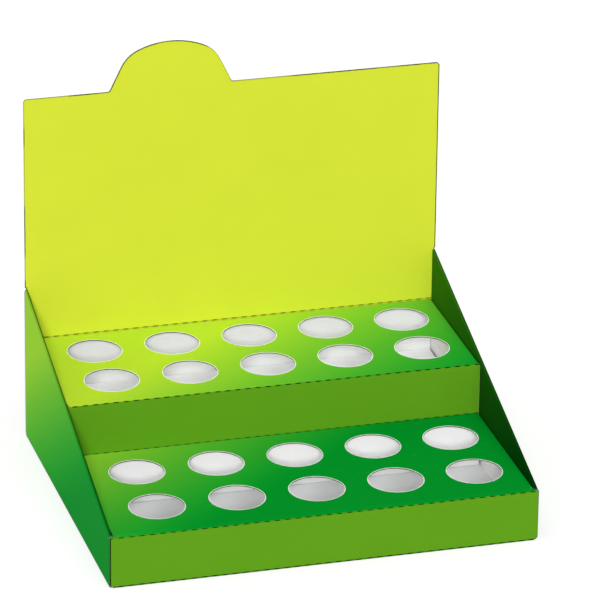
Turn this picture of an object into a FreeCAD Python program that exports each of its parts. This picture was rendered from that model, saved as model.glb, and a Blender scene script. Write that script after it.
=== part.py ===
"""A two-tier cardboard counter display: a folded tray, a stepped insert, a shelf inside and a header card.

All lengths are millimetres. X runs to the viewer's right, Y from the front to the back, Z up.
The origin is the centre of the footprint, on the underside of the base.
"""

import FreeCAD, Part
import math
import os

from FreeCAD import Placement, Rotation, Vector

# Board
BOARD = 0.8  # thickness of the solid display board
FOLD_INNER = 0.2  # radius inside a creased fold
FOLD_OUTER = FOLD_INNER + BOARD  # radius outside a creased fold

# Outer sizes of the tray
WIDTH = 300.0
DEPTH = 250.0
LOWER_LEVEL = 37.5  # height of the front wall and of the lower tier
UPPER_LEVEL = 75.0  # height of the upper tier
SIDE_BACK_HEIGHT = 114.0  # height of a side wall at the back
BACK_WALL_DROP = 3.0  # the back wall ends this far below the side walls

# Rolled-over walls
SIDE_WALL = 2.1  # outer panel, air and inner panel
FRONT_WALL = 2.8  # outer panel, corner flap and inner panel
LAYER_PLAY = 0.1  # air between the front wall's outer panel and the corner flap
PANEL_LIFT = 0.1  # air under the lower edge of an inner panel
CREASE_RUN = 2.0  # flat board kept beside a crease before the panel's outline starts
SLOT_GAP = 0.2  # air in front of the header card, where the inner panels end

# Corner flaps
FRONT_FLAP_LENGTH = 30.0
BACK_FLAP_LENGTH = 26.0
FLAP_PLAY = 0.5  # above a flap
FLAP_TAPER = 5.0  # how much the free end is lower than the root, at top and bottom

# Locking tabs of the inner panels, and their slots in the base
TAB_LENGTH = 24.0
TAB_TAPER = 2.0
TAB_RECESS = 0.1  # a tab stays this far above the underside of the base
SLOT_PLAY = 0.15  # beside a tab's faces
SLOT_END_PLAY = 0.6  # at a tab's ends
SIDE_TAB_SPREAD = 130.0  # between the middles of a side wall's tabs
FRONT_TAB_SPREAD = 150.0  # between the middles of the front wall's tabs

# Stepped insert
LOWER_TIER_DEPTH = 130.0  # from the front of the tray to the face of the riser
FIT = 0.25  # play between the insert and the walls around it
SIDE_FLANGE = 20.0  # depth of the flanges that stiffen the sides of a tier
FLANGE_TAPER = 8.0
FLANGE_RELIEF = 1.0  # notch at each end of a side flange

# Round holes
HOLE_DIAMETER = 38.0
HOLE_PITCH = 56.0  # along a row
HOLES_PER_ROW = 5
PATTERN_SHIFT = 4.5  # the pattern sits this far right of the centre
LOWER_MARGIN = 40.0  # from the front of the tray to the first row
LOWER_ROW_PITCH = 55.5
UPPER_MARGIN = 36.5  # from the riser to the third row
UPPER_ROW_PITCH = 50.5

# Shelf inside
SHELF_LEAD = 8.0  # how far the shelf reaches under the lower tier
SHELF_FOOT = 18.0  # glued feet, turned in under the shelf
SHELF_SIDE_PLAY = 1.5  # clears the flanges of the lower tier
SHELF_BACK_PLAY = 0.4

# Header card
HEADER_HEIGHT = 256.0
HEADER_CORNER = 2.5
SHOULDER_PLAY = 0.3  # above the side walls
STEM_PLAY = 0.2  # beside the outer panels of the side walls
STEM_CORNER = 2.0
ROUND_TAB_X = -45.0  # left of the centre
ROUND_TAB_WIDTH = 88.0  # where it rises from the top edge
ROUND_TAB_HEIGHT = 34.0  # above the top edge
ROUND_TAB_LEAN = 26.0  # degrees that its sides lean inwards
ROUND_TAB_CROWN = 58.5  # radius over its top
ROUND_TAB_SHOULDER = 24.5  # radius between its top and its sides
ROUND_TAB_ROOT = 2.0  # hollow radius where it meets the top edge

# Faces that several pieces share
LEFT = -WIDTH / 2
RIGHT = WIDTH / 2
FRONT = -DEPTH / 2
BACK = DEPTH / 2
BACK_FLAP_FACE = BACK - 2 * BOARD  # the glued corner flaps lie in front of the back wall
HEADER_FACE = BACK_FLAP_FACE - BOARD  # the header card lies in front of those flaps
RISER_FACE = FRONT + LOWER_TIER_DEPTH
INSERT_FRONT = FRONT + FRONT_WALL + FIT
INSERT_BACK = HEADER_FACE - FIT
CLEAR_HALF = RIGHT - SIDE_WALL - FIT  # half width of what fits between the side walls
BACK_WALL_HEIGHT = SIDE_BACK_HEIGHT - BACK_WALL_DROP

# Where a side wall's panels start and end along Y, and the slope of its top edge
FRONT_FLAP_FACE = FRONT + BOARD + LAYER_PLAY
SIDE_START = FRONT_FLAP_FACE + FOLD_OUTER
SIDE_END = BACK - BOARD - FOLD_OUTER
INNER_END = HEADER_FACE - SLOT_GAP
SLOPE = math.atan2(SIDE_BACK_HEIGHT - LOWER_LEVEL, DEPTH)

# Middles of the locking tabs along their walls
SIDE_TABS = (-SIDE_TAB_SPREAD / 2, SIDE_TAB_SPREAD / 2)
FRONT_TABS = (-FRONT_TAB_SPREAD / 2, FRONT_TAB_SPREAD / 2)

# Section planes, each with its two directions in the section
SIDE_ON = Rotation(Vector(0, 1, 0), Vector(0, 0, 1), Vector(1, 0, 0), "XYZ")  # Y and Z
FROM_FRONT = Rotation(Vector(1, 0, 0), Vector(0, 0, 1), Vector(0, -1, 0), "XYZ")  # X and Z
FROM_ABOVE = Rotation(Vector(1, 0, 0), Vector(0, 1, 0), Vector(0, 0, 1), "XYZ")  # X and Y
SHORTEST = 1e-6  # a shorter line is left out
CUT_MARGIN = 1.0  # a cutter reaches this far past the board that it cuts


def block(x0, x1, y0, y1, z0, z1):
    """A box between two corners."""
    return Part.makeBox(x1 - x0, y1 - y0, z1 - z0, Vector(x0, y0, z0))


def mirrored(shape):
    """The shape's twin on the other side of the middle plane."""
    return shape.mirror(Vector(0, 0, 0), Vector(1, 0, 0))


def joined(*shapes):
    """One solid from shapes that meet face to face."""
    return shapes[0].multiFuse(shapes[1:]).removeSplitter()


def rounded_line(corners, radii):
    """Edges along the corners, with an arc of the given radius at each corner between the two ends."""
    edges = []
    here = corners[0]
    for before, corner, after, radius in zip(corners, corners[1:], corners[2:], radii):
        into = (corner - before).normalize()
        away = (after - corner).normalize()
        half_turn = into.getAngle(away) / 2
        inwards = (away - into).normalize()
        start = corner - into * (radius * math.tan(half_turn))
        end = corner + away * (radius * math.tan(half_turn))
        middle = corner + inwards * (radius / math.cos(half_turn) - radius)
        if (start - here).Length > SHORTEST:
            edges.append(Part.makeLine(here, start))
        if radius > SHORTEST:
            edges.append(Part.Arc(start, middle, end).toShape())
        here = end
    edges.append(Part.makeLine(here, corners[-1]))
    return edges


def in_space(face, turn, start, reach):
    """A flat face turned into its section plane and drawn out, from start to start + reach."""
    face.Placement = Placement(start, turn)
    return face.extrude(reach)


def panel(outline, turn, start, reach):
    """A prism over a flat outline of (u, v) corners."""
    corners = [Vector(u, v, 0) for u, v in outline]
    return in_space(Part.Face(Part.makePolygon(corners + corners[:1])), turn, start, reach)


def folded_sheet(path, turn, start, reach):
    """A sheet folded along a path, drawn out sideways.

    The path is the line of the printed face, as (u, v) corners, with the board on its right-hand side.
    A fold is round on both faces, and the larger radius is on whichever face is outside the fold.
    """
    printed = [Vector(u, v, 0) for u, v in path]
    ways = [(b - a).normalize() for a, b in zip(printed, printed[1:])]
    across = [Vector(way.y, -way.x, 0) for way in ways]
    towards_board = [a.cross(b).z < 0 for a, b in zip(ways, ways[1:])]
    plain = [printed[0] + across[0] * BOARD]
    for corner, one, two in zip(printed[1:-1], across, across[1:]):
        plain.append(corner + (one + two) * (BOARD / (1 + one.dot(two))))
    plain.append(printed[-1] + across[-1] * BOARD)
    edges = rounded_line(printed, [FOLD_OUTER if t else FOLD_INNER for t in towards_board])
    edges += rounded_line(plain, [FOLD_INNER if t else FOLD_OUTER for t in towards_board])
    edges.append(Part.makeLine(printed[0], plain[0]))
    edges.append(Part.makeLine(printed[-1], plain[-1]))
    return in_space(Part.Face(Part.Wire(Part.sortEdges(edges)[0])), turn, start, reach)


def side_wall_height(y):
    """Height of a side wall's top edge at a place along its slope."""
    return LOWER_LEVEL + (y - FRONT) * math.tan(SLOPE)


def base_and_long_walls():
    """Back wall, base and rolled-over front wall: the strip between the two side walls."""
    path = [
        (BACK, BACK_WALL_HEIGHT),
        (BACK, 0),
        (FRONT, 0),
        (FRONT, LOWER_LEVEL),
        (FRONT + FRONT_WALL, LOWER_LEVEL),
        (FRONT + FRONT_WALL, BOARD + PANEL_LIFT),
    ]
    return folded_sheet(path, SIDE_ON, Vector(-CLEAR_HALF, 0, 0), Vector(2 * CLEAR_HALF, 0, 0))


def wall_margins():
    """What the front and back walls have beyond that strip, out to the left corner."""
    front = block(LEFT, -CLEAR_HALF, FRONT, FRONT + BOARD, CREASE_RUN, LOWER_LEVEL)
    back = block(LEFT, -CLEAR_HALF, BACK - BOARD, BACK, CREASE_RUN, BACK_WALL_HEIGHT)
    return [front, back]


def side_crease():
    """The left margin of the base, folded up into the foot of the side wall."""
    path = [(-CLEAR_HALF, 0), (LEFT, 0), (LEFT, CREASE_RUN)]
    reach = Vector(0, SIDE_END - SIDE_START, 0)
    return folded_sheet(path, FROM_FRONT, Vector(0, SIDE_START, 0), reach)


def flap_outline(root, tip, low, high):
    """Outline of a corner flap, square at its root and tapered to its free end."""
    square = root + CREASE_RUN
    return [
        (root, low),
        (square, low),
        (tip, low + FLAP_TAPER),
        (tip, high - FLAP_TAPER),
        (square, high),
        (root, high),
    ]


def side_panel_and_flaps():
    """The left wall's outer panel, with its front flap and its back flap folded round the corners."""
    path = [
        (LEFT + FRONT_FLAP_LENGTH, FRONT_FLAP_FACE),
        (LEFT, FRONT_FLAP_FACE),
        (LEFT, BACK - BOARD),
        (LEFT + BACK_FLAP_LENGTH, BACK - BOARD),
    ]
    strip = folded_sheet(path, FROM_ABOVE, Vector(0, 0, 0), Vector(0, 0, SIDE_BACK_HEIGHT))
    crease_drop = CREASE_RUN / math.cos(SLOPE)
    outline = [
        (SIDE_START, CREASE_RUN),
        (SIDE_END, CREASE_RUN),
        (SIDE_END, side_wall_height(SIDE_END) - crease_drop),
        (SIDE_START, side_wall_height(SIDE_START) - crease_drop),
    ]
    trapezoid = panel(outline, SIDE_ON, Vector(LEFT, 0, 0), Vector(BOARD, 0, 0))
    front_top = LOWER_LEVEL - BOARD - FLAP_PLAY
    back_top = BACK_WALL_HEIGHT - FLAP_PLAY
    front_outline = flap_outline(LEFT, LEFT + FRONT_FLAP_LENGTH, CREASE_RUN, front_top)
    back_outline = flap_outline(LEFT, LEFT + BACK_FLAP_LENGTH, CREASE_RUN, back_top)
    fold_depth = SIDE_START - FRONT_FLAP_FACE
    front_flap = panel(front_outline, FROM_FRONT, Vector(0, FRONT_FLAP_FACE, 0), Vector(0, fold_depth, 0))
    back_flap = panel(back_outline, FROM_FRONT, Vector(0, SIDE_END, 0), Vector(0, BACK - BOARD - SIDE_END, 0))
    return [strip.common(region) for region in (trapezoid, front_flap, back_flap)]


def tab_outline(middle):
    """Outline of a locking tab under an inner panel, around its middle along the wall."""
    half = TAB_LENGTH / 2
    top = BOARD + PANEL_LIFT
    return [
        (middle - half, top),
        (middle + half, top),
        (middle + half - TAB_TAPER, TAB_RECESS),
        (middle - half + TAB_TAPER, TAB_RECESS),
    ]


def side_tabs():
    """The two locking tabs under the left wall's inner panel."""
    start = Vector(LEFT + SIDE_WALL - BOARD, 0, 0)
    thickness = Vector(BOARD, 0, 0)
    return [panel(tab_outline(middle), SIDE_ON, start, thickness) for middle in SIDE_TABS]


def front_tabs():
    """The two locking tabs under the front wall's inner panel."""
    start = Vector(0, FRONT + FRONT_WALL - BOARD, 0)
    thickness = Vector(0, BOARD, 0)
    return [panel(tab_outline(middle), FROM_FRONT, start, thickness) for middle in FRONT_TABS]


def rolled_top_and_inner_panel():
    """The left wall rolled over its sloped edge: the two folds along the slope and the inner panel."""
    along = Vector(0, math.cos(SLOPE), math.sin(SLOPE))
    up = Vector(0, -math.sin(SLOPE), math.cos(SLOPE))
    sloped = Rotation(Vector(1, 0, 0), up, Vector(1, 0, 0).cross(up), "XYZ")
    path = [
        (LEFT, -CREASE_RUN),
        (LEFT, 0),
        (LEFT + SIDE_WALL, 0),
        (LEFT + SIDE_WALL, -SIDE_BACK_HEIGHT),
    ]
    overrun = SIDE_BACK_HEIGHT
    start = Vector(0, FRONT, LOWER_LEVEL) - along * overrun
    roll = folded_sheet(path, sloped, start, along * (DEPTH + 2 * overrun))
    outside = block(LEFT, LEFT + BOARD, SIDE_START, SIDE_END, 0, SIDE_BACK_HEIGHT)
    inside = block(
        LEFT + BOARD, LEFT + SIDE_WALL, SIDE_START, INNER_END, BOARD + PANEL_LIFT, SIDE_BACK_HEIGHT
    )
    return [roll.common(region) for region in (outside, inside)]


def tab_slots():
    """Cutters for the slots in the base that take the locking tabs."""
    half = TAB_LENGTH / 2 + SLOT_END_PLAY
    width = BOARD + 2 * SLOT_PLAY
    slots = []
    for middle in SIDE_TABS:
        inner = LEFT + SIDE_WALL - BOARD - SLOT_PLAY
        slot = block(inner, inner + width, middle - half, middle + half, -CUT_MARGIN, BOARD)
        slots += [slot, mirrored(slot)]
    for middle in FRONT_TABS:
        inner = FRONT + FRONT_WALL - BOARD - SLOT_PLAY
        slots.append(block(middle - half, middle + half, inner, inner + width, -CUT_MARGIN, BOARD))
    return slots


def tray():
    """The printed tray, folded from one blank."""
    base = base_and_long_walls()
    margin = side_crease()
    for slot in tab_slots():
        base = base.cut(slot)
        margin = margin.cut(slot)
    left = [margin] + wall_margins() + side_panel_and_flaps() + rolled_top_and_inner_panel() + side_tabs()
    right = [mirrored(shape) for shape in left]
    return joined(base, *left, *right, *front_tabs())


def hole_places():
    """Middle of each round hole as (x, y, level of its tier)."""
    rows = [
        (FRONT + LOWER_MARGIN, LOWER_LEVEL),
        (FRONT + LOWER_MARGIN + LOWER_ROW_PITCH, LOWER_LEVEL),
        (RISER_FACE + UPPER_MARGIN, UPPER_LEVEL),
        (RISER_FACE + UPPER_MARGIN + UPPER_ROW_PITCH, UPPER_LEVEL),
    ]
    first = PATTERN_SHIFT - HOLE_PITCH * (HOLES_PER_ROW - 1) / 2
    return [(first + k * HOLE_PITCH, y, level) for y, level in rows for k in range(HOLES_PER_ROW)]


def tier_flange(level, y0, y1):
    """The left edge of a tier folded down into a stiffening flange, between y0 and y1."""
    path = [(-CLEAR_HALF, level - SIDE_FLANGE), (-CLEAR_HALF, level), (-CLEAR_HALF + CREASE_RUN, level)]
    flange = folded_sheet(path, FROM_FRONT, Vector(0, y0, 0), Vector(0, y1 - y0, 0))
    root = level - CREASE_RUN
    outline = [
        (y0, level),
        (y0, root),
        (y0 + FLANGE_TAPER, level - SIDE_FLANGE),
        (y1 - FLANGE_TAPER, level - SIDE_FLANGE),
        (y1, root),
        (y1, level),
    ]
    return flange.common(panel(outline, SIDE_ON, Vector(-CLEAR_HALF, 0, 0), Vector(CREASE_RUN, 0, 0)))


def stepped_insert():
    """The folded sheet with the two tiers, their riser and the round holes."""
    path = [
        (INSERT_FRONT, BOARD),
        (INSERT_FRONT, LOWER_LEVEL),
        (RISER_FACE, LOWER_LEVEL),
        (RISER_FACE, UPPER_LEVEL),
        (INSERT_BACK, UPPER_LEVEL),
        (INSERT_BACK, BOARD),
    ]
    sheet = folded_sheet(path, SIDE_ON, Vector(-CLEAR_HALF, 0, 0), Vector(2 * CLEAR_HALF, 0, 0))
    clear_of_fold = FOLD_OUTER + FLANGE_RELIEF
    tiers = [
        (LOWER_LEVEL, INSERT_FRONT + clear_of_fold, RISER_FACE - clear_of_fold),
        (UPPER_LEVEL, RISER_FACE + clear_of_fold, INSERT_BACK - clear_of_fold),
    ]
    flanges = []
    for level, y0, y1 in tiers:
        notch = block(
            LEFT, -CLEAR_HALF + CREASE_RUN, y0 - FLANGE_RELIEF, y1 + FLANGE_RELIEF,
            level - BOARD - CUT_MARGIN, level + CUT_MARGIN,
        )
        sheet = sheet.cut(notch).cut(mirrored(notch))
        flange = tier_flange(level, y0, y1)
        flanges += [flange, mirrored(flange)]
    for x, y, level in hole_places():
        below = Vector(x, y, level - BOARD - CUT_MARGIN)
        sheet = sheet.cut(Part.makeCylinder(HOLE_DIAMETER / 2, BOARD + 2 * CUT_MARGIN, below))
    return joined(sheet, *flanges)


def inner_shelf():
    """The folded shelf under the upper tier, on two legs with feet turned in."""
    front = RISER_FACE - SHELF_LEAD
    back = INSERT_BACK - BOARD - SHELF_BACK_PLAY
    top = LOWER_LEVEL - BOARD
    half = RIGHT - SIDE_WALL - SHELF_SIDE_PLAY
    path = [
        (front + SHELF_FOOT, BOARD),
        (front, BOARD),
        (front, top),
        (back, top),
        (back, BOARD),
        (back - SHELF_FOOT, BOARD),
    ]
    return folded_sheet(path, SIDE_ON, Vector(-half, 0, 0), Vector(2 * half, 0, 0))


def round_tab_half():
    """Points of the round tab's right half, from the middle of its root: foot, side, shoulder and crown.

    The side is straight and leans inwards. The shoulder's arc touches the side and the crown's arc, so its
    centre is on a line beside the side and on a circle around the crown's centre.
    """
    lean = math.radians(ROUND_TAB_LEAN)
    up_side = Vector(-math.sin(lean), math.cos(lean), 0)
    inwards = Vector(-math.cos(lean), -math.sin(lean), 0)
    foot = Vector(ROUND_TAB_WIDTH / 2, 0, 0)
    crown_centre = Vector(0, ROUND_TAB_HEIGHT - ROUND_TAB_CROWN, 0)
    beside = foot + inwards * ROUND_TAB_SHOULDER - crown_centre
    back = up_side.dot(beside)
    reach = ROUND_TAB_CROWN - ROUND_TAB_SHOULDER
    rise = math.sqrt(back**2 - beside.dot(beside) + reach**2) - back
    shoulder_centre = crown_centre + beside + up_side * rise
    crown_way = (shoulder_centre - crown_centre).normalize()
    shoulder_way = (crown_way - inwards).normalize()
    side_end = shoulder_centre - inwards * ROUND_TAB_SHOULDER
    shoulder_middle = shoulder_centre + shoulder_way * ROUND_TAB_SHOULDER
    crown_end = crown_centre + crown_way * ROUND_TAB_CROWN
    return foot, side_end, shoulder_middle, crown_end


def header_card():
    """The flat card: a stem down to the base between the side walls, shoulders and the round tab."""
    stem = RIGHT - BOARD - STEM_PLAY
    shoulder = SIDE_BACK_HEIGHT + SHOULDER_PLAY
    tab = Vector(ROUND_TAB_X, HEADER_HEIGHT, 0)
    halves = [[tab + Vector(way * p.x, p.y, 0) for p in round_tab_half()] for way in (-1, 1)]
    left_foot, left_side, left_shoulder, left_crown = halves[0]
    right_foot, right_side, right_shoulder, right_crown = halves[1]
    outline = [
        right_side,
        right_foot,
        Vector(RIGHT, HEADER_HEIGHT, 0),
        Vector(RIGHT, shoulder, 0),
        Vector(stem, shoulder, 0),
        Vector(stem, BOARD, 0),
        Vector(-stem, BOARD, 0),
        Vector(-stem, shoulder, 0),
        Vector(LEFT, shoulder, 0),
        Vector(LEFT, HEADER_HEIGHT, 0),
        left_foot,
        left_side,
    ]
    right_radii = [ROUND_TAB_ROOT, HEADER_CORNER, 0, 0, STEM_CORNER]
    edges = rounded_line(outline, right_radii + right_radii[::-1])
    edges.append(Part.Arc(left_side, left_shoulder, left_crown).toShape())
    edges.append(Part.Arc(left_crown, tab + Vector(0, ROUND_TAB_HEIGHT, 0), right_crown).toShape())
    edges.append(Part.Arc(right_crown, right_shoulder, right_side).toShape())
    card = Part.Face(Part.Wire(Part.sortEdges(edges)[0]))
    return in_space(card, FROM_FRONT, Vector(0, HEADER_FACE, 0), Vector(0, BOARD, 0))


PIECES = {
    "tray": tray,
    "stepped_insert": stepped_insert,
    "inner_shelf": inner_shelf,
    "header_card": header_card,
}

os.makedirs("parts", exist_ok=True)
for name, make in PIECES.items():
    shape = make()
    assert shape.isValid() and len(shape.Solids) == 1, name
    shape.exportStep(f"parts/{name}.step")
    print(name, "volume", round(shape.Volume / 1000, 2), "cm3", shape.BoundBox)
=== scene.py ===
"""The looks of a two-tier cardboard counter display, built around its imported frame.

Four sheets of solid display board are dressed: the folded tray, the stepped insert with its round holes,
the shelf inside and the header card. Lengths of the meshes are metres. Sizes written for a person are
millimetres. X runs to the viewer's right, Y from the front to the back, Z up.
"""

import logging
import math
from dataclasses import dataclass
from enum import Enum
from typing import Any, Callable, Optional

import bmesh
import bpy
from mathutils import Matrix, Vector


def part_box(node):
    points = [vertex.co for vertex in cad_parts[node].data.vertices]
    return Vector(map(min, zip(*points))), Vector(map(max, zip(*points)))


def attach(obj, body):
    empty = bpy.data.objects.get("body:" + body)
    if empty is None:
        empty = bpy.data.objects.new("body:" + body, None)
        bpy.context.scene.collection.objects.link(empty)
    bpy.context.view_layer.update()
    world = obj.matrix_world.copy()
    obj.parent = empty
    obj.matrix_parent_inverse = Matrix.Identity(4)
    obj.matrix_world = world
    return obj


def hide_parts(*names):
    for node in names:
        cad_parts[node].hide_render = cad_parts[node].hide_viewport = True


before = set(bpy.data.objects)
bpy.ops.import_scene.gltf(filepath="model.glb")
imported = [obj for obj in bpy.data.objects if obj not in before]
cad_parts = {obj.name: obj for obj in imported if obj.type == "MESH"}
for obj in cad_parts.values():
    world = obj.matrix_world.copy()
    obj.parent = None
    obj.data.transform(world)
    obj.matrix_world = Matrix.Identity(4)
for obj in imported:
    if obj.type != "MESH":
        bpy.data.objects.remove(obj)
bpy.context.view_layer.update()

LOG = logging.getLogger("counter_display")
MM = 0.001
PHOTO_HEIGHT = 616
SENSOR = 36.0
Pair = tuple[float, float]
Triple = tuple[float, float, float]
Socket = Any
Pick = Callable[[bmesh.types.BMFace, "Face"], bpy.types.Material]


class Face(Enum):
    """What a face of a sheet is: its printed side, its plain side, the cut through it or a hole's rim."""

    PRINTED = "printed"
    PLAIN = "plain"
    CUT = "cut"
    RIM = "rim"


class Graph:
    """A node tree with short calls that place nodes and join their sockets."""

    def __init__(self, tree: bpy.types.NodeTree) -> None:
        """Take a tree to build in.

        Args:
            tree: The shader or geometry node tree.
        """
        self.tree = tree

    def put(self, target: Socket, value: Any) -> None:
        """Join a socket to an input, or write a plain value on it.

        Args:
            target: The input socket.
            value: An output socket, a number, a vector, a colour or a datablock.
        """
        if isinstance(value, bpy.types.NodeSocket):
            self.tree.links.new(value, target)
        else:
            target.default_value = value

    def add(self, kind: str, inputs: Optional[dict] = None, **settings: Any) -> bpy.types.Node:
        """Place a node.

        Args:
            kind: The node's type name.
            inputs: Values by input name or index.
            settings: Properties of the node.

        Returns:
            The new node.
        """
        node = self.tree.nodes.new(kind)
        for name, value in settings.items():
            setattr(node, name, value)
        for key, value in (inputs or {}).items():
            self.put(node.inputs[key], value)
        return node

    def math(self, operation: str, *values: Any, clamp: bool = False) -> Socket:
        """Place a Math node.

        Args:
            operation: What it works out.
            values: One to three numbers or sockets.
            clamp: Whether the result is kept from 0 to 1.

        Returns:
            Its result.
        """
        node = self.add("ShaderNodeMath", dict(enumerate(values)), operation=operation, use_clamp=clamp)
        return node.outputs[0]

    def vector(self, operation: str, *values: Any) -> Socket:
        """Place a Vector Math node.

        Args:
            operation: What it works out.
            values: The vectors, or a vector and a scale as the last value of SCALE.

        Returns:
            Its result, a number for DOT_PRODUCT and LENGTH and a vector for the rest.
        """
        node = self.add("ShaderNodeVectorMath", operation=operation)
        if operation == "SCALE":
            self.put(node.inputs[0], values[0])
            self.put(node.inputs["Scale"], values[1])
        else:
            for index, value in enumerate(values):
                self.put(node.inputs[index], value)
        return node.outputs["Value" if operation in ("DOT_PRODUCT", "LENGTH") else "Vector"]

    def blend(self, factor: Any, first: Any, second: Any) -> Socket:
        """Mix two colours.

        Args:
            factor: Share of the second colour.
            first: The first colour.
            second: The second colour.

        Returns:
            The mixed colour.
        """
        node = self.add("ShaderNodeMix", data_type="RGBA")
        self.put(node.inputs[0], factor)
        self.put(node.inputs[6], first)
        self.put(node.inputs[7], second)
        return node.outputs[2]

    def noise(self, place: Socket, scale: Any, detail: float, distortion: float = 0.0) -> Socket:
        """Place a Noise Texture.

        Args:
            place: Where it is read.
            scale: How fine it is.
            detail: How many finer layers it has.
            distortion: How much it is stirred.

        Returns:
            Its value, around 0.5.
        """
        keys = {"Vector": place, "Scale": scale, "Detail": detail, "Distortion": distortion}
        return self.add("ShaderNodeTexNoise", keys).outputs["Fac"]

    def span(self, value: Any, low: float, high: float, to_low: float, to_high: float) -> Socket:
        """Map a number from one span to another, kept inside the second.

        Args:
            value: The number.
            low: Start of the first span.
            high: End of the first span.
            to_low: Start of the second span.
            to_high: End of the second span.

        Returns:
            The mapped number.
        """
        keys = {"Value": value, "From Min": low, "From Max": high, "To Min": to_low, "To Max": to_high}
        return self.add("ShaderNodeMapRange", keys).outputs["Result"]


def new_group(name: str, kind: str, inputs: list[tuple], outputs: list[tuple]) -> tuple[Graph, Any, Any]:
    """Start a node group.

    Args:
        name: The group's name.
        kind: ShaderNodeTree or GeometryNodeTree.
        inputs: Name, socket type and default of each input.
        outputs: Name and socket type of each output.

    Returns:
        The graph, its input node and its output node.
    """
    tree = bpy.data.node_groups.new(name, kind)
    for label, socket_type, default in inputs:
        socket = tree.interface.new_socket(label, in_out="INPUT", socket_type=socket_type)
        if default is not None:
            socket.default_value = default
    for label, socket_type in outputs:
        tree.interface.new_socket(label, in_out="OUTPUT", socket_type=socket_type)
    return Graph(tree), tree.nodes.new("NodeGroupInput"), tree.nodes.new("NodeGroupOutput")


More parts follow.
